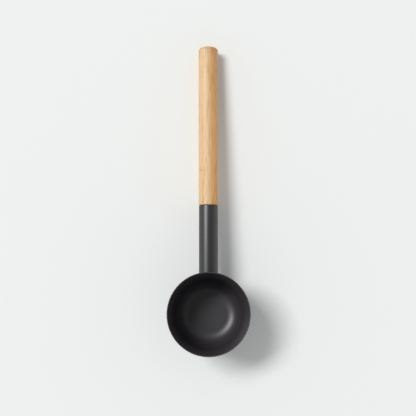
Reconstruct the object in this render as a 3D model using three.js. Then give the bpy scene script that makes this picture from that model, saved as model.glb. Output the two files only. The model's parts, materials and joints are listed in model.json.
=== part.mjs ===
// Sauna ladle in millimetres, +Z up: a spun metal cup, a tube saddle-cut and welded to its wall, and a turned
// bamboo handle bonded into the tube. It lies as it does when it is put down: the handle outweighs the empty
// cup, so the ladle tips back onto the cup's heel and the handle's free end. The handle points to +Y, and the
// origin is under the middle of the whole ladle, on the surface that it lies on.

import * as THREE from "three";

// Cup: a flat base, a rounded heel, a straight flared wall and a fully rounded lip
const cupHeight = 72;
const mouthRadius = 52.75;
const baseRadius = 24.5;
const heelRadius = 22;
const cupWall = 1.2;

// Stem tube: its axis meets the cup's wall below the mouth and climbs away from it
const tubeRadius = 12.5;
const tubeWall = 1.5;
const tubeLength = 92.3;
const tubeDrop = 29;
const tubeRise = THREE.MathUtils.degToRad(4);
const tubeEdgeRound = 0.7;

// Weld: the leg of the hollow fillet that runs round the saddle cut
const weldLeg = 3;

// Handle: a dowel with a rounded end, a chamfered shoulder and a tenon inside the tube
const handleRadius = 12.9;
const handleLength = 211.5;
const handleEndRound = 4;
const shoulderChamfer = 0.8;
const tenonLength = 42;
const tenonChamfer = 1.5;

// Adhesive sleeve round the tenon, kept back from the tenon's chamfer and from the tube's mouth
const glueThickness = 0.4;
const glueSetback = 1.5;

// Clearances: between metal pieces that meet, between shoulder and tube, and on each side of the adhesive
const weldGap = 0.3;
const shoulderGap = 0.3;
const glueGap = 0.2;

// Facets round the cup, round the stem and handle, and along the curved stretches of the profiles
const cupFacets = 80;
const stemFacets = 64;
const heelSteps = 10;
const lipSteps = 6;
const endRoundSteps = 7;
const edgeRoundSteps = 3;
const weldSteps = 6;

const quarterTurn = Math.PI / 2;

// Points of an arc in a profile, from one angle to another, both ends included
function arc(centre, radius, start, end, steps) {
  return Array.from({ length: steps + 1 }, (_, step) => {
    const angle = start + ((end - start) * step) / steps;
    return new THREE.Vector2(centre.x + radius * Math.cos(angle), centre.y + radius * Math.sin(angle));
  });
}

// A solid of revolution about +Z, from a profile of radius and height
function revolve(profile, facets) {
  return new THREE.LatheGeometry(profile, facets).rotateX(quarterTurn);
}

// A ring-shaped solid: the rings follow each other round its section, and the last joins the first
function loftRings(rings) {
  const facets = rings[0].length;
  const positions = rings.flatMap((ring) => ring.flatMap((point) => point.toArray()));
  const triangles = rings.flatMap((_, row) => {
    const here = row * facets;
    const there = ((row + 1) % rings.length) * facets;
    return Array.from({ length: facets }, (_, column) => {
      const next = (column + 1) % facets;
      return [here + column, here + next, there + next, here + column, there + next, there + column];
    }).flat();
  });
  const geometry = new THREE.BufferGeometry();
  geometry.setAttribute("position", new THREE.Float32BufferAttribute(positions, 3));
  geometry.setIndex(triangles);
  geometry.computeVertexNormals();
  return geometry;
}

// The cup's wall is the common tangent of the heel's circle and the lip's circle
const heelCentre = new THREE.Vector2(baseRadius, heelRadius);
const lipRadius = cupWall / 2;
const lipCentre = new THREE.Vector2(mouthRadius - lipRadius, cupHeight - lipRadius);
const heelToLip = lipCentre.clone().sub(heelCentre);
const wallFlare =
  Math.atan2(heelToLip.x, heelToLip.y) - Math.asin((heelRadius - lipRadius) / heelToLip.length());

// Radius of the cup's outer wall at a height, grown outwards by a gap
function wallRadius(height, gap = 0) {
  const fromHeel = heelRadius + gap + (height - heelCentre.y) * Math.sin(wallFlare);
  return heelCentre.x + fromHeel / Math.cos(wallFlare);
}

function cupGeometry() {
  const wallAngle = -wallFlare;
  const profile = [
    new THREE.Vector2(0, 0),
    ...arc(heelCentre, heelRadius, -quarterTurn, wallAngle, heelSteps),
    ...arc(lipCentre, lipRadius, wallAngle, wallAngle + Math.PI, lipSteps),
    ...arc(heelCentre, heelRadius - cupWall, wallAngle, -quarterTurn, heelSteps),
    new THREE.Vector2(0, cupWall),
  ];
  return revolve(profile, cupFacets);
}

// The stem's own frame starts where its axis meets the cup's wall: +Z runs along the axis, away from the cup,
// +X is level and +Y points down
const stemStart = new THREE.Vector3(0, wallRadius(cupHeight - tubeDrop), cupHeight - tubeDrop);
const stemTurn = tubeRise - quarterTurn;

// Where a line parallel to the stem's axis, at x and y in the stem's frame, meets the cup's wall grown by the
// weld gap. The wall is a cone, so the distance along the line is the larger root of a quadratic.
function saddle(x, y) {
  const along = Math.cos(tubeRise);
  const climb = Math.sin(tubeRise);
  const flare = Math.tan(wallFlare);
  const reach = stemStart.y + y * climb;
  const wall = wallRadius(stemStart.z - y * along, weldGap);
  const square = along ** 2 - (flare * climb) ** 2;
  const half = reach * along - wall * flare * climb;
  const rest = x ** 2 + reach ** 2 - wall ** 2;
  return (-half + Math.sqrt(half ** 2 - square * rest)) / square;
}

// One ring of points round the stem's axis, at a height that may change with the place round it
function stemRing(radius, heightAt) {
  return Array.from({ length: stemFacets }, (_, facet) => {
    const angle = (facet / stemFacets) * 2 * Math.PI;
    const x = radius * Math.cos(angle);
    const y = radius * Math.sin(angle);
    return new THREE.Vector3(x, y, heightAt(x, y));
  });
}

const boreRadius = tubeRadius - tubeWall;

function tubeGeometry() {
  const edgeCentre = new THREE.Vector2(tubeRadius - tubeEdgeRound, tubeLength - tubeEdgeRound);
  const roundedEdge = arc(edgeCentre, tubeEdgeRound, 0, quarterTurn, edgeRoundSteps);
  return loftRings([
    stemRing(tubeRadius, saddle),
    ...roundedEdge.map((point) => stemRing(point.x, () => point.y)),
    stemRing(boreRadius, () => tubeLength),
    stemRing(boreRadius, saddle),
  ]);
}

// The weld's section is a corner with a hollow face: a quarter circle between its toes on the cup and the tube
function weldGeometry() {
  const innerRadius = tubeRadius + weldGap;
  const hollow = arc(new THREE.Vector2(weldLeg, weldLeg), weldLeg, -quarterTurn, -Math.PI, weldSteps);
  return loftRings([
    stemRing(innerRadius, saddle),
    ...hollow.map((point) => stemRing(innerRadius + point.x, (x, y) => saddle(x, y) + point.y)),
  ]);
}

const glueRadius = boreRadius - glueGap;
const tenonRadius = glueRadius - glueThickness - glueGap;

// The handle's profile starts at the tenon's tip, with the shoulder at height 0
function handleGeometry() {
  const endCentre = new THREE.Vector2(handleRadius - handleEndRound, handleLength - handleEndRound);
  const profile = [
    new THREE.Vector2(0, -tenonLength),
    new THREE.Vector2(tenonRadius - tenonChamfer, -tenonLength),
    new THREE.Vector2(tenonRadius, tenonChamfer - tenonLength),
    new THREE.Vector2(tenonRadius, 0),
    new THREE.Vector2(handleRadius - shoulderChamfer, 0),
    new THREE.Vector2(handleRadius, shoulderChamfer),
    ...arc(endCentre, handleEndRound, 0, quarterTurn, endRoundSteps),
    new THREE.Vector2(0, handleLength),
  ];
  return revolve(profile, stemFacets);
}

function glueGeometry() {
  const low = tenonChamfer + glueSetback - tenonLength;
  const high = -glueSetback;
  const inner = glueRadius - glueThickness;
  return revolve(
    [
      new THREE.Vector2(inner, low),
      new THREE.Vector2(glueRadius, low),
      new THREE.Vector2(glueRadius, high),
      new THREE.Vector2(inner, high),
      new THREE.Vector2(inner, low),
    ],
    stemFacets,
  );
}

function piece(name, geometry, finish) {
  const mesh = new THREE.Mesh(geometry, new THREE.MeshStandardMaterial(finish));
  mesh.name = name;
  return mesh;
}

// How far the ladle tips back: the surface under it is the common tangent of the heel's circle and the lower
// edge of the handle's rounded end
function restTilt() {
  const endHeight = tubeLength + shoulderGap + handleLength - handleEndRound;
  const endDrop = handleRadius - handleEndRound;
  const endCentre = new THREE.Vector2(
    stemStart.y + endHeight * Math.cos(tubeRise) + endDrop * Math.sin(tubeRise),
    stemStart.z + endHeight * Math.sin(tubeRise) - endDrop * Math.cos(tubeRise),
  );
  const heelToEnd = endCentre.sub(heelCentre);
  return heelToEnd.angle() + Math.asin((heelRadius - handleEndRound) / heelToEnd.length());
}

const satinBlack = { color: "#2b2b2d", roughness: 0.42, metalness: 0.2 };
const weldBlack = { color: "#29292b", roughness: 0.5, metalness: 0.2 };
const bamboo = { color: "#d9b083", roughness: 0.5, metalness: 0 };
const adhesive = { color: "#c9b98f", roughness: 0.35, metalness: 0 };

const ladle = new THREE.Group();
ladle.add(piece("bowl", cupGeometry(), satinBlack));

const stem = new THREE.Group();
stem.position.copy(stemStart);
stem.rotation.x = stemTurn;
stem.add(piece("stem_tube", tubeGeometry(), satinBlack));
stem.add(piece("weld_bead", weldGeometry(), weldBlack));
ladle.add(stem);

const grip = new THREE.Group();
grip.position.z = tubeLength + shoulderGap;
grip.add(piece("handle", handleGeometry(), bamboo));
grip.add(piece("glue_sleeve", glueGeometry(), adhesive));
stem.add(grip);

// Lay the ladle down, then put the origin on the surface, under the middle of the whole
ladle.rotation.x = -restTilt();
const extent = new THREE.Box3().setFromObject(ladle, true);
const middle = extent.getCenter(new THREE.Vector3());
ladle.position.set(-middle.x, -middle.y, -extent.min.z);

export default ladle;
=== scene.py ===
"""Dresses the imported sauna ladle: a spun cup and a tube stem in satin black, and a turned bamboo handle.

Sizes are in millimetres on each sub-assembly's own axes, and a mesh is in metres in the shared frame. The
cup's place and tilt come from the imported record's mount on its base; the stem and the handle follow from the
cup.
"""

import json
import logging
import math
from dataclasses import dataclass
from enum import Enum

import bpy
import numpy as np
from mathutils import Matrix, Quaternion, Vector


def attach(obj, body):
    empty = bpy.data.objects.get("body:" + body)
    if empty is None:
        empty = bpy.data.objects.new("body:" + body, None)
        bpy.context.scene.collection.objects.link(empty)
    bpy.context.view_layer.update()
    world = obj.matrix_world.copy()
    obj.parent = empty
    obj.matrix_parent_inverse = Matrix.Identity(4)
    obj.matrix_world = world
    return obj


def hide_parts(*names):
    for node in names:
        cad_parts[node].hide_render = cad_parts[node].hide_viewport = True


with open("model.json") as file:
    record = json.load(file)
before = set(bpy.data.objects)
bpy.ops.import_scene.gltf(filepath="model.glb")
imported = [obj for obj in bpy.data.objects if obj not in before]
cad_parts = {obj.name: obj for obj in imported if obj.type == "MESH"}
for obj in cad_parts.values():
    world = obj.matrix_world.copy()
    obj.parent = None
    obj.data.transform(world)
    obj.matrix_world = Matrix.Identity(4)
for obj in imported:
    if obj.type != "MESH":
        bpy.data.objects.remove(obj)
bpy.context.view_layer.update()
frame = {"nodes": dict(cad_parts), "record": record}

log = logging.getLogger("sauna_ladle")

MM = 0.001
QUARTER_TURN = math.pi / 2
PHOTO_PIXELS = 416
SENSOR = 36.0
BODY = "root"
HARD_EDGE = math.radians(32)

# The colour inputs and output of a Mix node, which shares their names with its other data types
MIX_A, MIX_B, MIX_RESULT = 6, 7, 2

# Octaves of a noise, fewer for a fine grain than for clouds and streaks, and the value that it swings about
GRAIN_OCTAVES, CLOUD_OCTAVES = 2.0, 3.0
NOISE_MEAN = 0.5

# The mean height that an even sky lights a level sheet from, as the sine of the angle above the sheet
SKY_MEAN_HEIGHT = 2 / 3

# One number, or one for each place round a ring, and a point of a profile, as radius and height
Numbers = float | np.ndarray
Point = tuple[float, float] | np.ndarray


class Slot(Enum):
    """The record's material slots of the pieces that stand for a solid."""

    BLACK_METAL = "black_metal"
    WELD_METAL = "weld_metal"
    BAMBOO = "bamboo"


class Ends(Enum):
    """How a surface made of rings ends: the last ring joins the first, or each end closes on its middle."""

    JOINED = "joined"
    CAPPED = "capped"


class Spin(Enum):
    """The axis that a profile turns about, as the order of across, along and up."""

    UP = (0, 1, 2)
    ALONG = (0, 2, 1)


def linear(colour: str) -> tuple[float, float, float, float]:
    """Turns a colour into linear light, by the sRGB curve.

    Args:
        colour: An sRGB hex value such as "#d9b083".

    Returns:
        Linear red, green and blue, and an alpha of 1.
    """
    srgb = np.array([int(colour[i : i + 2], 16) for i in (1, 3, 5)]) / 255
    light = np.where(srgb <= 0.04045, srgb / 12.92, ((srgb + 0.055) / 1.055) ** 2.4)
    return (*light.tolist(), 1.0)


def add_node(tree: bpy.types.NodeTree, kind: str, inputs: dict[str | int, object],
             **settings: object) -> bpy.types.Node:
    """Adds one shader node.

    Args:
        tree: The node tree that gets the node.
        kind: The node's type, such as "ShaderNodeTexNoise".
        inputs: What each input takes, by name or number: an output of another node, or a value.
        settings: The node's own properties.

    Returns:
        The new node.
    """
    node = tree.nodes.new(kind)
    for name, value in settings.items():
        setattr(node, name, value)
    for key, value in inputs.items():
        if isinstance(value, bpy.types.NodeSocket):
            tree.links.new(value, node.inputs[key])
        else:
            node.inputs[key].default_value = value
    return node


def new_material(name: str) -> tuple[bpy.types.Material, bpy.types.NodeTree]:
    """Makes an empty node material.

    Args:
        name: The material's name.

    Returns:
        The material and its node tree, which holds nothing.
    """
    material = bpy.data.materials.new(name)
    material.use_nodes = True
    material.node_tree.nodes.clear()
    return material, material.node_tree


def arc(centre: Point, radius: float, start: float, end: float, steps: int) -> np.ndarray:
    """Points of an arc in a profile: the centre plus the radius times (cos, sin) of an even run of angles.

    Args:
        centre: The circle's middle, as radius and height.
        radius: The circle's radius.
        start: The first angle in radians.
        end: The last angle in radians.
        steps: How many pieces the arc is cut into.

    Returns:
        An array of steps + 1 points.
    """
    angle = np.linspace(start, end, steps + 1)
    return np.asarray(centre) + radius * np.stack([np.cos(angle), np.sin(angle)], axis=-1)


def between(start: Point, end: Point, steps: int) -> np.ndarray:
    """Points strictly between two profile points, evenly spaced.

    Args:
        start: The point before the first one made.
        end: The point after the last one made.
        steps: How many pieces the line is cut into.

    Returns:
        An array of steps - 1 points.
    """
    share = np.linspace(0, 1, steps + 1)[1:-1, None]
    return np.asarray(start) * (1 - share) + np.asarray(end) * share


def once_round(places: int) -> np.ndarray:
    """Even angles in radians, once round an axis."""
    return np.linspace(0, 2 * math.pi, places, endpoint=False)


def revolve(profile: np.ndarray, around: int, spin: Spin) -> np.ndarray:
    """Carries a profile round an axis: each point (r, h) becomes a ring (r cos a, r sin a, h).

    Args:
        profile: Points of radius and height.
        around: How many places each ring has.
        spin: The axis that the profile turns about.

    Returns:
        An array of ring, place round the ring, and across, along and up.
    """
    angle = once_round(around)
    radius, height = profile[:, :1], profile[:, 1:]
    ring = [radius * np.cos(angle), radius * np.sin(angle), height * np.ones(around)]
    return np.stack(ring, axis=-1)[..., list(spin.value)]


def skin(name: str, rings: np.ndarray, ends: Ends) -> bpy.types.Object:
    """Makes a closed mesh from rings of points, with a quad between each two neighbours on two rings.

    Args:
        name: The piece's name.
        rings: Points in metres, as an array of ring, place round the ring, and x, y, z.
        ends: Whether the last ring joins the first, or each end closes in a fan on its ring's middle.

    Returns:
        The new object, smooth but for its hard edges, with its faces outwards.
    """
    rows, columns = rings.shape[:2]
    points = rings.reshape(-1, 3)
    bands = rows if ends is Ends.JOINED else rows - 1
    row, column = np.meshgrid(np.arange(bands), np.arange(columns), indexing="ij")
    low, high = row * columns, (row + 1) % rows * columns
    turned = (column + 1) % columns
    quads = np.stack([low + column, low + turned, high + turned, high + column], axis=-1).reshape(-1, 4)
    fans = np.empty((0, 3), dtype=int)
    if ends is Ends.CAPPED:
        here = np.arange(columns)
        there = (here + 1) % columns
        last = (rows - 1) * columns
        middle = np.full(columns, len(points))
        fans = np.concatenate([
            np.stack([middle, there, here], axis=-1),
            np.stack([middle + 1, last + here, last + there], axis=-1),
        ])
        points = np.concatenate([points, rings[[0, -1]].mean(axis=1)])
    # The volume is negative where the faces point inwards
    triangles = np.concatenate([quads[:, :3], quads[:, [0, 2, 3]], fans])
    a, b, c = (points[triangles[:, i]] for i in range(3))
    if np.einsum("ij,ij->", a, np.cross(b, c)) < 0:
        quads, fans = quads[:, ::-1], fans[:, ::-1]
    mesh = bpy.data.meshes.new(name)
    mesh.from_pydata(points.tolist(), [], [*quads.tolist(), *fans.tolist()])
    mesh.shade_smooth()
    mesh.set_sharp_from_angle(angle=HARD_EDGE)
    piece = bpy.data.objects.new(name, mesh)
    bpy.context.scene.collection.objects.link(piece)
    return piece


def stand_for(piece: bpy.types.Object, node: str, material: bpy.types.Material) -> None:
    """Dresses a finer piece, lets it ride on the ladle's body, and shows it in place of a solid.

    Args:
        piece: The finer piece.
        node: The solid that it stands for.
        material: What it is made of.
    """
    piece.data.materials.append(material)
    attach(piece, BODY)
    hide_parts(node)
    log.info("%s stands for %s: %d faces, %s", piece.name, node, len(piece.data.polygons), material.name)


@dataclass(frozen=True)
class Place:
    """Where a sub-assembly's axes lie in the shared frame.

    The origin is in metres, and the axes are unit vectors, one to a row: across, along and up.
    """

    origin: np.ndarray
    axes: np.ndarray

    def points(self, local: np.ndarray) -> np.ndarray:
        """Points on these axes in millimetres, as metres in the shared frame."""
        return self.origin + (np.asarray(local) * MM) @ self.axes


@dataclass(frozen=True)
class SatinBlack:
    """Black coating baked on spun or drawn metal.

    A thin even film gives the eye one soft highlight on a near-black ground, a slight unevenness of tone, and
    pale edges where the surface turns away. The roughness swings either way with the film's grain.
    """

    name: str
    deep: str
    bloom: str
    roughness: float
    ior: float = 1.5
    swing: float = 0.05
    grain: float = 0.9
    grain_depth: float = 0.004
    cloud: float = 24.0

    def material(self) -> bpy.types.Material:
        """Builds the coating: clouds in its tone, and a fine grain in its gloss and height.

        Returns:
            The material.
        """
        material, tree = new_material(self.name)
        where = add_node(tree, "ShaderNodeTexCoord", {}).outputs["Object"]
        cloud = add_node(tree, "ShaderNodeTexNoise",
                         {"Vector": where, "Scale": 1 / (self.cloud * MM), "Detail": CLOUD_OCTAVES})
        # A real film's grain is near 0.2 mm, and is drawn coarser so that it shows at all
        grain = add_node(tree, "ShaderNodeTexNoise",
                         {"Vector": where, "Scale": 1 / (self.grain * MM), "Detail": GRAIN_OCTAVES})
        tone = add_node(tree, "ShaderNodeMix",
                        {"Factor": cloud.outputs["Fac"], MIX_A: linear(self.deep), MIX_B: linear(self.bloom)},
                        data_type="RGBA")
        gloss = add_node(tree, "ShaderNodeMapRange",
                         {"Value": grain.outputs["Fac"], "To Min": self.roughness - self.swing,
                          "To Max": self.roughness + self.swing})
        bump = add_node(tree, "ShaderNodeBump",
                        {"Height": grain.outputs["Fac"], "Strength": 1.0, "Distance": self.grain_depth * MM})
        shader = add_node(tree, "ShaderNodeBsdfPrincipled",
                          {"Base Color": tone.outputs[MIX_RESULT], "Roughness": gloss.outputs["Result"],
                           "IOR": self.ior, "Normal": bump.outputs["Normal"]})
        add_node(tree, "ShaderNodeOutputMaterial", {"Surface": shader.outputs["BSDF"]})
        return material


@dataclass(frozen=True)
class Layer:
    """One colour laid over what is below it.

    It doesn't show where the value is at its start, and its whole share shows where the value is full.
    """

    value: bpy.types.NodeSocket
    start: float
    full: float
    colour: str
    share: float


@dataclass(frozen=True)
class Bamboo:
    """Laminated bamboo, turned, sanded and oiled.

    Strips glued side by side differ in tone, from pale straw to warm tan. Each shows soft streaks and fine
    straight fibres, short dark dashes where it cuts a bundle of vessels, and now and then a node. The oil
    darkens the grain that it soaks into at the two ends, and leaves a soft highlight. The free end is drawn
    warmer and then browner towards its face: partly end grain that takes the oil, and partly painted shade
    where the end rounds off.

    A pattern's two sizes are its width across the grain and its length along it, and a seed picks one draw of
    a noise. Open grain gives the noise at which the grain starts to take oil and at which it takes the most.
    """

    name: str
    pale: str = "#dabc94"
    tan: str = "#dca870"
    honey: str = "#c08638"
    brown: str = "#86603f"
    roughness: float = 0.48
    swing: float = 0.08
    ior: float = 1.51
    strip: float = 7.5
    strip_start: float = 3.4
    waver: float = 2.4
    tone_seed: float = 381.0
    grain_seed: float = 146.0
    drift: tuple[float, float] = (14.0, 90.0)
    streak: tuple[float, float] = (2.0, 70.0)
    mottle: tuple[float, float] = (3.2, 24.0)
    fibre: tuple[float, float] = (0.7, 40.0)
    bundle: tuple[float, float] = (0.5, 9.0)
    glue_line: float = 0.3
    node_seed: float = 2579.0
    node_pitch: float = 300.0
    node_wobble: float = 2.5
    node_break: float = 9.0
    node_line: float = 1.4
    node_band: float = 5.0
    soak_seed: float = 261.0
    soak_length: float = 20.0
    open_grain: tuple[float, float] = (0.52, 0.62)
    # How far from the free end the honey and then the brown reach, in mm: end grain that takes the oil, and
    # partly painted shade on the rounded end
    end_warmth_and_shade: float = 6.0
    end_grain_and_shade: float = 1.6
    groove_depth: float = 0.02

    def material(self, place: Place, length: float) -> bpy.types.Material:
        """Builds the bamboo as a solid pattern on the handle's own axes, in millimetres.

        Args:
            place: The handle's place, from the shoulder.
            length: The handle's length from the shoulder to its free end.

        Returns:
            The material.
        """
        material, tree = new_material(self.name)
        where = add_node(tree, "ShaderNodeTexCoord", {}).outputs["Object"]
        slope = math.atan2(place.axes[1, 2], place.axes[1, 1])
        local = add_node(tree, "ShaderNodeMapping",
                         {"Vector": where, "Location": place.origin.tolist(), "Rotation": (slope, 0, 0),
                          "Scale": (MM, MM, MM)}, vector_type="TEXTURE").outputs["Vector"]
        axis = add_node(tree, "ShaderNodeSeparateXYZ", {"Vector": local})
        along = axis.outputs["Y"]
        drift = self.drawn_out(tree, local, self.drift, self.grain_seed)
        wavering = add_node(tree, "ShaderNodeMath", {0: drift, 1: self.waver, 2: axis.outputs["X"]},
                            operation="MULTIPLY_ADD")
        count = add_node(tree, "ShaderNodeMath",
                         {0: wavering.outputs[0], 1: 1 / self.strip,
                          2: -(self.strip_start + self.waver * NOISE_MEAN) / self.strip},
                         operation="MULTIPLY_ADD").outputs[0]
        strip = add_node(tree, "ShaderNodeMath", {0: count}, operation="FLOOR").outputs[0]
        # How far a place is from the nearer edge of its strip, which is half a strip away at most
        glue = add_node(tree, "ShaderNodeMath", {0: count, 1: 1 / 2}, operation="PINGPONG").outputs[0]
        seeded = add_node(tree, "ShaderNodeMath", {0: strip, 1: self.grain_seed}, operation="ADD").outputs[0]
        streak = self.drawn_out(tree, local, self.streak, seeded)
        mottle = self.drawn_out(tree, local, self.mottle, seeded)
        fibre = self.drawn_out(tree, local, self.fibre, seeded)
        bundle = self.drawn_out(tree, local, self.bundle, seeded)
        tone = self.chance(tree, strip, self.tone_seed)
        node = self.from_node(tree, along, strip, streak, mottle)
        soaked = self.soaked(tree, along, self.drawn_out(tree, local, self.streak, self.soak_seed), length)
        to_end = add_node(tree, "ShaderNodeMath", {0: length, 1: along}, operation="SUBTRACT").outputs[0]
        colour = self.laid(tree, (
            Layer(tone, start=0.0, full=1.0, colour=self.tan, share=1.0),
            Layer(drift, start=0.4, full=0.66, colour=self.honey, share=0.16),
            Layer(streak, start=0.44, full=0.68, colour=self.honey, share=0.18),
            Layer(mottle, start=0.46, full=0.7, colour=self.honey, share=0.54),
            Layer(fibre, start=0.48, full=0.7, colour=self.brown, share=0.05),
            Layer(bundle, start=0.62, full=0.74, colour=self.brown, share=0.7),
            Layer(glue, start=self.glue_line / self.strip, full=0.0, colour=self.brown, share=0.15),
            Layer(node, start=self.node_band, full=0.0, colour=self.honey, share=0.12),
            Layer(node, start=self.node_line, full=0.0, colour=self.brown, share=0.15),
            Layer(soaked, start=0.0, full=1.0, colour=self.brown, share=0.55),
            # The free end's rounding, warmer then browner towards its face: end grain taking oil, and partly
            # painted shade
            Layer(to_end, start=self.end_warmth_and_shade, full=0.0, colour=self.honey, share=0.52),
            Layer(to_end, start=self.end_grain_and_shade, full=0.0, colour=self.brown, share=0.25),
        ))
        gloss = add_node(tree, "ShaderNodeMapRange",
                         {"Value": fibre, "To Min": self.roughness - self.swing,
                          "To Max": self.roughness + self.swing})
        bump = add_node(tree, "ShaderNodeBump",
                        {"Height": fibre, "Strength": 1.0, "Distance": self.groove_depth * MM})
        shader = add_node(tree, "ShaderNodeBsdfPrincipled",
                          {"Base Color": colour, "Roughness": gloss.outputs["Result"], "IOR": self.ior,
                           "Normal": bump.outputs["Normal"]})
        add_node(tree, "ShaderNodeOutputMaterial", {"Surface": shader.outputs["BSDF"]})
        return material

    def drawn_out(self, tree: bpy.types.NodeTree, local: bpy.types.NodeSocket, size: tuple[float, float],
                  seed: float | bpy.types.NodeSocket) -> bpy.types.NodeSocket:
        """Noise drawn out along the handle.

        Args:
            tree: The node tree.
            local: Millimetres on the handle's axes.
            size: The pattern's width and length.
            seed: A number that differs from strip to strip, or one number for all.

        Returns:
            A value about the noise's mean.
        """
        width, length = size
        scaled = add_node(tree, "ShaderNodeVectorMath", {0: local, 1: (1 / width, 1 / length, 1 / width)},
                          operation="MULTIPLY")
        noise = add_node(tree, "ShaderNodeTexNoise",
                         {"Vector": scaled.outputs["Vector"], "W": seed, "Scale": 1.0,
                          "Detail": CLOUD_OCTAVES}, noise_dimensions="4D")
        return noise.outputs["Fac"]

    def chance(self, tree: bpy.types.NodeTree, strip: bpy.types.NodeSocket,
               seed: float) -> bpy.types.NodeSocket:
        """Draws a number for each strip.

        Args:
            tree: The node tree.
            strip: The strip's number.
            seed: What sets this draw apart from another.

        Returns:
            A value from 0 to 1.
        """
        seeded = add_node(tree, "ShaderNodeMath", {0: strip, 1: seed}, operation="ADD")
        noise = add_node(tree, "ShaderNodeTexWhiteNoise", {"W": seeded.outputs[0]}, noise_dimensions="1D")
        return noise.outputs["Value"]

    def from_node(self, tree: bpy.types.NodeTree, along: bpy.types.NodeSocket, strip: bpy.types.NodeSocket,
                  streak: bpy.types.NodeSocket, mottle: bpy.types.NodeSocket) -> bpy.types.NodeSocket:
        """How far a place is along the handle from its strip's node, which wanders and fades with the grain.

        Args:
            tree: The node tree.
            along: Millimetres from the shoulder.
            strip: The strip's number.
            streak: The streaks' noise.
            mottle: The mottle's noise.

        Returns:
            Millimetres, least at the node.
        """
        at = add_node(tree, "ShaderNodeMath",
                      {0: self.chance(tree, strip, self.node_seed), 1: self.node_pitch}, operation="MULTIPLY")
        straight = add_node(tree, "ShaderNodeMath", {0: along, 1: at.outputs[0]}, operation="SUBTRACT")
        wandering = add_node(tree, "ShaderNodeMath", {0: streak, 1: self.node_wobble, 2: straight.outputs[0]},
                             operation="MULTIPLY_ADD")
        far = add_node(tree, "ShaderNodeMath", {0: wandering.outputs[0]}, operation="ABSOLUTE")
        faded = add_node(tree, "ShaderNodeMath", {0: mottle, 1: NOISE_MEAN}, operation="SUBTRACT")
        return add_node(tree, "ShaderNodeMath", {0: faded.outputs[0], 1: self.node_break, 2: far.outputs[0]},
                        operation="MULTIPLY_ADD").outputs[0]

    def soaked(self, tree: bpy.types.NodeTree, along: bpy.types.NodeSocket, grain: bpy.types.NodeSocket,
               length: float) -> bpy.types.NodeSocket:
        """How deep the oil soaked in: most at the two ends, and there only along some streaks.

        Args:
            tree: The node tree.
            along: Millimetres from the shoulder.
            grain: How open the grain is.
            length: The handle's length.

        Returns:
            A value from 0 to 1.
        """
        end = add_node(tree, "ShaderNodeMath", {0: along, 1: length / 2}, operation="PINGPONG")
        near = add_node(tree, "ShaderNodeMapRange",
                        {"Value": end.outputs[0], "From Min": self.soak_length, "From Max": 0.0},
                        interpolation_type="SMOOTHSTEP")
        closed, opened = self.open_grain
        taken = add_node(tree, "ShaderNodeMapRange", {"Value": grain, "From Min": closed, "From Max": opened})
        return add_node(tree, "ShaderNodeMath", {0: near.outputs["Result"], 1: taken.outputs["Result"]},
                        operation="MULTIPLY").outputs[0]

    def laid(self, tree: bpy.types.NodeTree, layers: tuple[Layer, ...]) -> bpy.types.NodeSocket:
        """Lays colours over the pale ground, one after the other.

        Args:
            tree: The node tree.
            layers: The layers, lowest first.

        Returns:
            The colour.
        """
        below = linear(self.pale)
        for layer in layers:
            cover = add_node(tree, "ShaderNodeMapRange",
                             {"Value": layer.value, "From Min": layer.start, "From Max": layer.full,
                              "To Max": layer.share}, interpolation_type="SMOOTHSTEP")
            mix = add_node(tree, "ShaderNodeMix",
                           {"Factor": cover.outputs["Result"], MIX_A: below, MIX_B: linear(layer.colour)},
                           data_type="RGBA")
            below = mix.outputs[MIX_RESULT]
        return below


@dataclass(frozen=True)
class Adhesive:
    """Two-part adhesive, set: an amber film, cloudy and half glossy."""

    name: str
    clear: str = "#c9b98f"
    cloudy: str = "#b9a678"
    roughness: float = 0.35
    ior: float = 1.5
    cloud: float = 3.0

    def material(self) -> bpy.types.Material:
        """Builds the film, with clouds in its tone.

        Returns:
            The material.
        """
        material, tree = new_material(self.name)
        where = add_node(tree, "ShaderNodeTexCoord", {}).outputs["Object"]
        cloud = add_node(tree, "ShaderNodeTexNoise", {"Vector": where, "Scale": 1 / (self.cloud * MM)})
        tone = add_node(tree, "ShaderNodeMix",
                        {"Factor": cloud.outputs["Fac"], MIX_A: linear(self.clear),
                         MIX_B: linear(self.cloudy)}, data_type="RGBA")
        shader = add_node(tree, "ShaderNodeBsdfPrincipled",
                          {"Base Color": tone.outputs[MIX_RESULT], "Roughness": self.roughness,
                           "IOR": self.ior})
        add_node(tree, "ShaderNodeOutputMaterial", {"Surface": shader.outputs["BSDF"]})
        return material

    def dress(self, solid: bpy.types.Object) -> None:
        """Gives a solid that stays in the scene this finish in place of its own.

        Args:
            solid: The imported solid.
        """
        solid.data.materials.clear()
        solid.data.materials.append(self.material())
        log.info("%s stays as its solid, hidden in the tube", solid.name)


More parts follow.
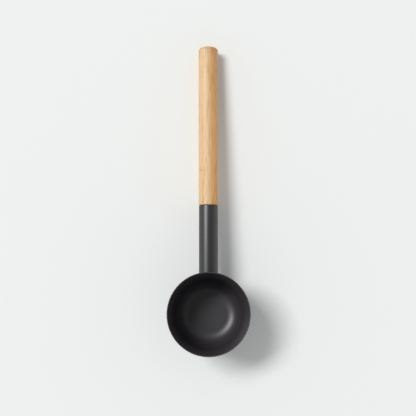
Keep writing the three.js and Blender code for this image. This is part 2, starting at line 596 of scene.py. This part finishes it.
@dataclass(frozen=True)
class Cup:
    """The spun cup: a flat base, a rounded heel, a straight flared wall and a fully rounded lip."""

    height: float = 72.0
    mouth_radius: float = 52.75
    base_radius: float = 24.5
    heel_radius: float = 22.0
    wall: float = 1.2
    around: int = 256
    base_steps: int = 8
    heel_steps: int = 36
    wall_steps: int = 24
    lip_steps: int = 14

    @property
    def lip_radius(self) -> float:
        """Half of the wall's thickness, as the lip is a half circle."""
        return self.wall / 2

    @property
    def flare(self) -> float:
        """The wall's lean, as the wall is the common tangent of the heel's circle and the lip's circle.

        Returns:
            Radians from the cup's axis.
        """
        out = self.mouth_radius - self.lip_radius - self.base_radius
        up = self.height - self.lip_radius - self.heel_radius
        return math.atan2(out, up) - math.asin((self.heel_radius - self.lip_radius) / math.hypot(out, up))

    def wall_radius(self, height: Numbers, gap: float = 0.0) -> Numbers:
        """The outer wall's radius at a height, grown outwards by a gap."""
        from_heel = self.heel_radius + gap + (height - self.heel_radius) * math.sin(self.flare)
        return self.base_radius + from_heel / math.cos(self.flare)

    def place(self, record: dict) -> Place:
        """Finds the cup's place from the mount on its base, which points out of the base.

        Args:
            record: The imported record.

        Returns:
            The place, from the middle of the base.
        """
        mount = next(m for m in record["mounts"] if m["name"] == "bowl_base")
        up = -np.array(mount["axis"]) / np.linalg.norm(mount["axis"])
        across = np.array([1.0, 0.0, 0.0])
        return Place(np.array(mount["pos_m"]), np.stack([across, np.cross(up, across), up]))

    def profile(self) -> np.ndarray:
        """Walks the section: out over the base, up the heel and wall, round the lip and back down inside.

        Returns:
            Points of radius and height.
        """
        heel = (self.base_radius, self.heel_radius)
        lip = (self.mouth_radius - self.lip_radius, self.height - self.lip_radius)
        lean = -self.flare
        outside = arc(heel, self.heel_radius, -QUARTER_TURN, lean, self.heel_steps)
        rounded = arc(lip, self.lip_radius, lean, lean + math.pi, self.lip_steps)
        inside = arc(heel, self.heel_radius - self.wall, lean, -QUARTER_TURN, self.heel_steps)
        under = between((0, 0), outside[0], self.base_steps)
        floor = between(inside[-1], (0, self.wall), self.base_steps)
        return np.concatenate([
            under, outside, between(outside[-1], rounded[0], self.wall_steps), rounded,
            between(rounded[-1], inside[0], self.wall_steps), inside, floor,
        ])

    def build(self, place: Place, coating: bpy.types.Material) -> None:
        """Makes the cup and shows it in place of its solid."""
        rings = place.points(revolve(self.profile(), self.around, Spin.UP))
        stand_for(skin("spun_cup", rings, Ends.CAPPED), "bowl", coating)


@dataclass(frozen=True)
class Stem:
    """The tube, saddle-cut to the cup's wall, and the weld round the cut."""

    cup: Cup
    radius: float = 12.5
    wall: float = 1.5
    length: float = 92.3
    drop: float = 29.0
    rise: float = math.radians(4)
    edge_round: float = 0.7
    cut_gap: float = 0.3
    weld_leg: float = 3.0
    weld_sink: float = 0.05
    ripple_depth: float = 0.16
    ripples: int = 36
    around: int = 288
    edge_steps: int = 8
    weld_steps: int = 10

    @property
    def seat(self) -> tuple[float, float]:
        """Where the tube's axis meets the cup's wall, as radius and height in the cup."""
        height = self.cup.height - self.drop
        return self.cup.wall_radius(height), height

    def place(self, cup_place: Place) -> Place:
        """Finds the stem's place: it starts at the seat, and its along axis climbs away from the cup.

        Args:
            cup_place: The cup's place.

        Returns:
            The place, from the seat.
        """
        across, out, up = cup_place.axes
        lean, climb = math.cos(self.rise), math.sin(self.rise)
        axes = np.stack([across, out * lean + up * climb, up * lean - out * climb])
        return Place(cup_place.points((0, *self.seat)), axes)

    def saddle(self, across: np.ndarray, up: np.ndarray, gap: float) -> np.ndarray:
        """Where lines parallel to the tube's axis meet the cup's wall, a cone, grown by a gap.

        Across squared plus reach squared equals the cone's radius squared. Reach and radius are linear in the
        distance along the line, so the distance is the larger root of a quadratic.

        Args:
            across: Each line's place across the tube.
            up: Each line's place above the tube's axis.
            gap: How far the wall is grown outwards.

        Returns:
            The distance along each line, from the seat.
        """
        lean, climb = math.cos(self.rise), math.sin(self.rise)
        flare = math.tan(self.cup.flare)
        seat_radius, seat_height = self.seat
        reach = seat_radius - up * climb
        wall = self.cup.wall_radius(seat_height + up * lean, gap)
        square = lean**2 - (flare * climb) ** 2
        half = reach * lean - wall * flare * climb
        rest = across**2 + reach**2 - wall**2
        return (np.sqrt(half**2 - square * rest) - half) / square

    def ring(self, radius: Numbers, along: float) -> np.ndarray:
        """One ring round the tube's axis: (radius cos a, along, radius sin a).

        Args:
            radius: The ring's radius, one number or one for each place round it.
            along: How far the ring is along the tube.

        Returns:
            An array of place round the ring, and across, along and up.
        """
        angle = once_round(self.around)
        across, up = radius * np.cos(angle), radius * np.sin(angle)
        return np.stack([across, along * np.ones(self.around), up], axis=-1)

    def cut(self, radius: Numbers, gap: float, lift: Numbers = 0.0) -> np.ndarray:
        """One ring that follows the saddle, lifted off it along the tube.

        Args:
            radius: The ring's radius, one number or one for each place round it.
            gap: How far the cup's wall is grown outwards.
            lift: How far the ring is lifted off the saddle, one number or one for each place round it.

        Returns:
            An array of place round the ring, and across, along and up.
        """
        ring = self.ring(radius, 0.0)
        ring[:, 1] = self.saddle(ring[:, 0], ring[:, 2], gap) + lift
        return ring

    def build_tube(self, place: Place, coating: bpy.types.Material) -> None:
        """Makes the tube: out along its skin, over the rounded edge of its mouth and back along its bore.

        Args:
            place: The stem's place.
            coating: What covers the tube.
        """
        bore = self.radius - self.wall
        edge = arc((self.radius - self.edge_round, self.length - self.edge_round), self.edge_round,
                   0, QUARTER_TURN, self.edge_steps)
        rings = [self.cut(self.radius, self.cut_gap), *(self.ring(*point) for point in edge),
                 self.ring(bore, self.length), self.cut(bore, self.cut_gap)]
        tube = skin("tube_stem", place.points(np.stack(rings)), Ends.JOINED)
        stand_for(tube, "stem_tube", coating)

    def build_weld(self, place: Place, coating: bpy.types.Material) -> None:
        """Makes the weld: a hollow quarter circle between the cup and the tube, rippled along its run.

        A ripple's depth at an angle round the tube is the full depth times 1 - |cos(ripples * angle / 2)|.
        The hollow is drawn in by half of that across the tube and half along it, which fades to the two toes
        as a half wave of a sine. Both toes sink a little into what they join.

        Args:
            place: The stem's place.
            coating: What covers the weld.
        """
        inner = self.radius - self.weld_sink
        ripple = self.ripple_depth * (1 - np.abs(np.cos(once_round(self.around) * self.ripples / 2)))
        hollow = arc((self.weld_leg, self.weld_leg), self.weld_leg, -QUARTER_TURN, -math.pi, self.weld_steps)
        fade = np.sin(np.linspace(0, math.pi, self.weld_steps + 1))
        rings = [self.cut(inner, -self.weld_sink)]
        rings += [self.cut(inner + out - ripple * share / 2, -self.weld_sink, lift - ripple * share / 2)
                  for (out, lift), share in zip(hollow, fade)]
        weld = skin("weld_fillet", place.points(np.stack(rings)), Ends.JOINED)
        stand_for(weld, "weld_bead", coating)


@dataclass(frozen=True)
class Handle:
    """The turned handle: a tenon inside the tube, a chamfered shoulder, a straight grip and a rounded end."""

    radius: float = 12.9
    length: float = 211.5
    end_round: float = 4.0
    shoulder_chamfer: float = 0.8
    shoulder_gap: float = 0.3
    tenon_length: float = 42.0
    tenon_radius: float = 10.2
    tenon_chamfer: float = 1.5
    around: int = 192
    grip_steps: int = 40
    end_steps: int = 20
    face_steps: int = 6

    def place(self, stem: Stem, stem_place: Place) -> Place:
        """Finds the handle's place: its shoulder stands just off the tube's mouth."""
        return Place(stem_place.points((0, stem.length + self.shoulder_gap, 0)), stem_place.axes)

    def profile(self) -> np.ndarray:
        """Walks the section from the tenon's tip to the middle of the free end.

        Returns:
            Points of radius and distance from the shoulder.
        """
        tip = (self.tenon_radius - self.tenon_chamfer, -self.tenon_length)
        tenon = [tip, (self.tenon_radius, self.tenon_chamfer - self.tenon_length), (self.tenon_radius, 0)]
        shoulder = [(self.radius - self.shoulder_chamfer, 0), (self.radius, self.shoulder_chamfer)]
        end = arc((self.radius - self.end_round, self.length - self.end_round), self.end_round,
                  0, QUARTER_TURN, self.end_steps)
        return np.concatenate([
            between((0, -self.tenon_length), tip, self.face_steps), tenon, shoulder,
            between(shoulder[-1], end[0], self.grip_steps), end,
            between(end[-1], (0, self.length), self.face_steps),
        ])

    def build(self, place: Place, wood: bpy.types.Material) -> None:
        """Makes the handle and shows it in place of its solid."""
        rings = place.points(revolve(self.profile(), self.around, Spin.ALONG))
        stand_for(skin("bamboo_handle", rings, Ends.CAPPED), "handle", wood)


@dataclass(frozen=True)
class Studio:
    """A pale floor under a soft light from the upper left, seen from straight above.

    White is how bright a level white sheet comes out. The key panel gives its share of that light, and the
    fill gives the rest. The panel's lean is how far it stands off to X and Y for each unit of its height.
    """

    floor_colour: str = "#edefee"
    floor_size: float = 12000.0
    white: float = 1.043
    key_share: float = 0.542
    key_lean: tuple[float, float] = (-0.66, 0.46)
    key_height: float = 30000.0
    key_size: tuple[float, float] = (17000.0, 8400.0)
    key_turn: float = math.radians(-23.5)
    wall_share: float = 1.3
    camera_at: tuple[float, float, float] = (-0.6, -14.06, 920.0)
    camera_roll: float = math.radians(-0.086)
    focal_pixels: float = 675.0

    def build_floor(self) -> None:
        """Lays the floor, a matt sheet."""
        half = self.floor_size / 2 * MM
        mesh = bpy.data.meshes.new("floor")
        corners = [(-half, -half, 0), (half, -half, 0), (half, half, 0), (-half, half, 0)]
        mesh.from_pydata(corners, [], [(0, 1, 2, 3)])
        floor = bpy.data.objects.new("floor", mesh)
        bpy.context.scene.collection.objects.link(floor)
        material, tree = new_material("matt_paper")
        shader = add_node(tree, "ShaderNodeBsdfDiffuse", {"Color": linear(self.floor_colour)})
        add_node(tree, "ShaderNodeOutputMaterial", {"Surface": shader.outputs["BSDF"]})
        mesh.materials.append(material)

    def build_light(self) -> None:
        """Hangs the key light and sets the fill, which together light a level white sheet to the white level.

        A far panel of radiance L and area A gives L A cos / distance squared, and a Blender panel's power is
        pi L A. The fill is brighter towards the walls than overhead: its radiance is its mean times 1 + wall
        share times (the sky's mean height - the height), with each height as a sine. That leaves its light on
        a level sheet at pi times the mean.
        """
        fill = self.white * (1 - self.key_share)
        world = bpy.data.worlds.new("soft_fill")
        world.use_nodes = True
        tree = world.node_tree
        towards = add_node(tree, "ShaderNodeTexCoord", {}).outputs["Generated"]
        height = add_node(tree, "ShaderNodeSeparateXYZ", {"Vector": towards}).outputs["Z"]
        level = add_node(tree, "ShaderNodeMapRange",
                         {"Value": height, "To Min": fill * (1 + self.wall_share * SKY_MEAN_HEIGHT),
                          "To Max": fill * (1 + self.wall_share * (SKY_MEAN_HEIGHT - 1))}).outputs["Result"]
        tree.links.new(level, tree.nodes["Background"].inputs["Strength"])
        tree.nodes["Background"].inputs["Color"].default_value = (1.0, 1.0, 1.0, 1.0)
        bpy.context.scene.world = world
        at = Vector((*self.key_lean, 1.0)) * self.key_height * MM
        light = bpy.data.lights.new("key_panel", "AREA")
        light.shape = "RECTANGLE"
        light.size, light.size_y = (side * MM for side in self.key_size)
        light.energy = math.pi**2 * self.white * self.key_share * at.length**3 / at.z
        key = bpy.data.objects.new("key_panel", light)
        key.location = at
        key.rotation_mode = "QUATERNION"
        key.rotation_quaternion = (-at).to_track_quat("-Z", "Y") @ Quaternion((0, 0, 1), self.key_turn)
        bpy.context.scene.collection.objects.link(key)

    def build_camera(self) -> None:
        """Hangs the camera, with its lens from the focal length in the photograph's pixels."""
        data = bpy.data.cameras.new("camera")
        data.sensor_width = SENSOR
        data.lens = SENSOR * self.focal_pixels / PHOTO_PIXELS
        camera = bpy.data.objects.new("camera", data)
        camera.location = Vector(self.camera_at) * MM
        camera.rotation_euler = (0.0, 0.0, self.camera_roll)
        bpy.context.scene.collection.objects.link(camera)
        bpy.context.scene.camera = camera


def main() -> None:
    """Builds the studio, the cup, the stem and the handle."""
    logging.basicConfig(level=logging.INFO, format="%(name)s: %(message)s")
    bpy.context.scene.view_settings.view_transform = "Standard"
    studio = Studio()
    studio.build_camera()
    studio.build_floor()
    studio.build_light()

    # Painted light: the cup's black is drawn paler than the tube's, though both wear the same coating, to lift
    # the cup's shaded inner walls
    spun = SatinBlack("satin_black_on_spun_metal_painted_lift", deep="#363337", bloom="#3a373b", roughness=0.387, ior=1.53)
    drawn = SatinBlack("satin_black_on_drawn_tube", deep="#1a181b", bloom="#1e1c1f", roughness=0.39, ior=1.68,
                        swing=0.02, grain_depth=0.001)
    welded = SatinBlack("satin_black_on_weld", deep="#2a282b", bloom="#2f2d30", roughness=0.42, grain=0.6,
                        grain_depth=0.012)

    cup = Cup()
    cup_place = cup.place(frame["record"])
    cup.build(cup_place, spun.material())

    stem = Stem(cup)
    stem_place = stem.place(cup_place)
    stem.build_tube(stem_place, drawn.material())
    stem.build_weld(stem_place, welded.material())

    handle = Handle()
    handle_place = handle.place(stem, stem_place)
    handle.build(handle_place, Bamboo("oiled_laminated_bamboo").material(handle_place, handle.length))

    Adhesive("set_adhesive").dress(frame["nodes"]["glue_sleeve"])


if __name__ == "__main__":
    main()
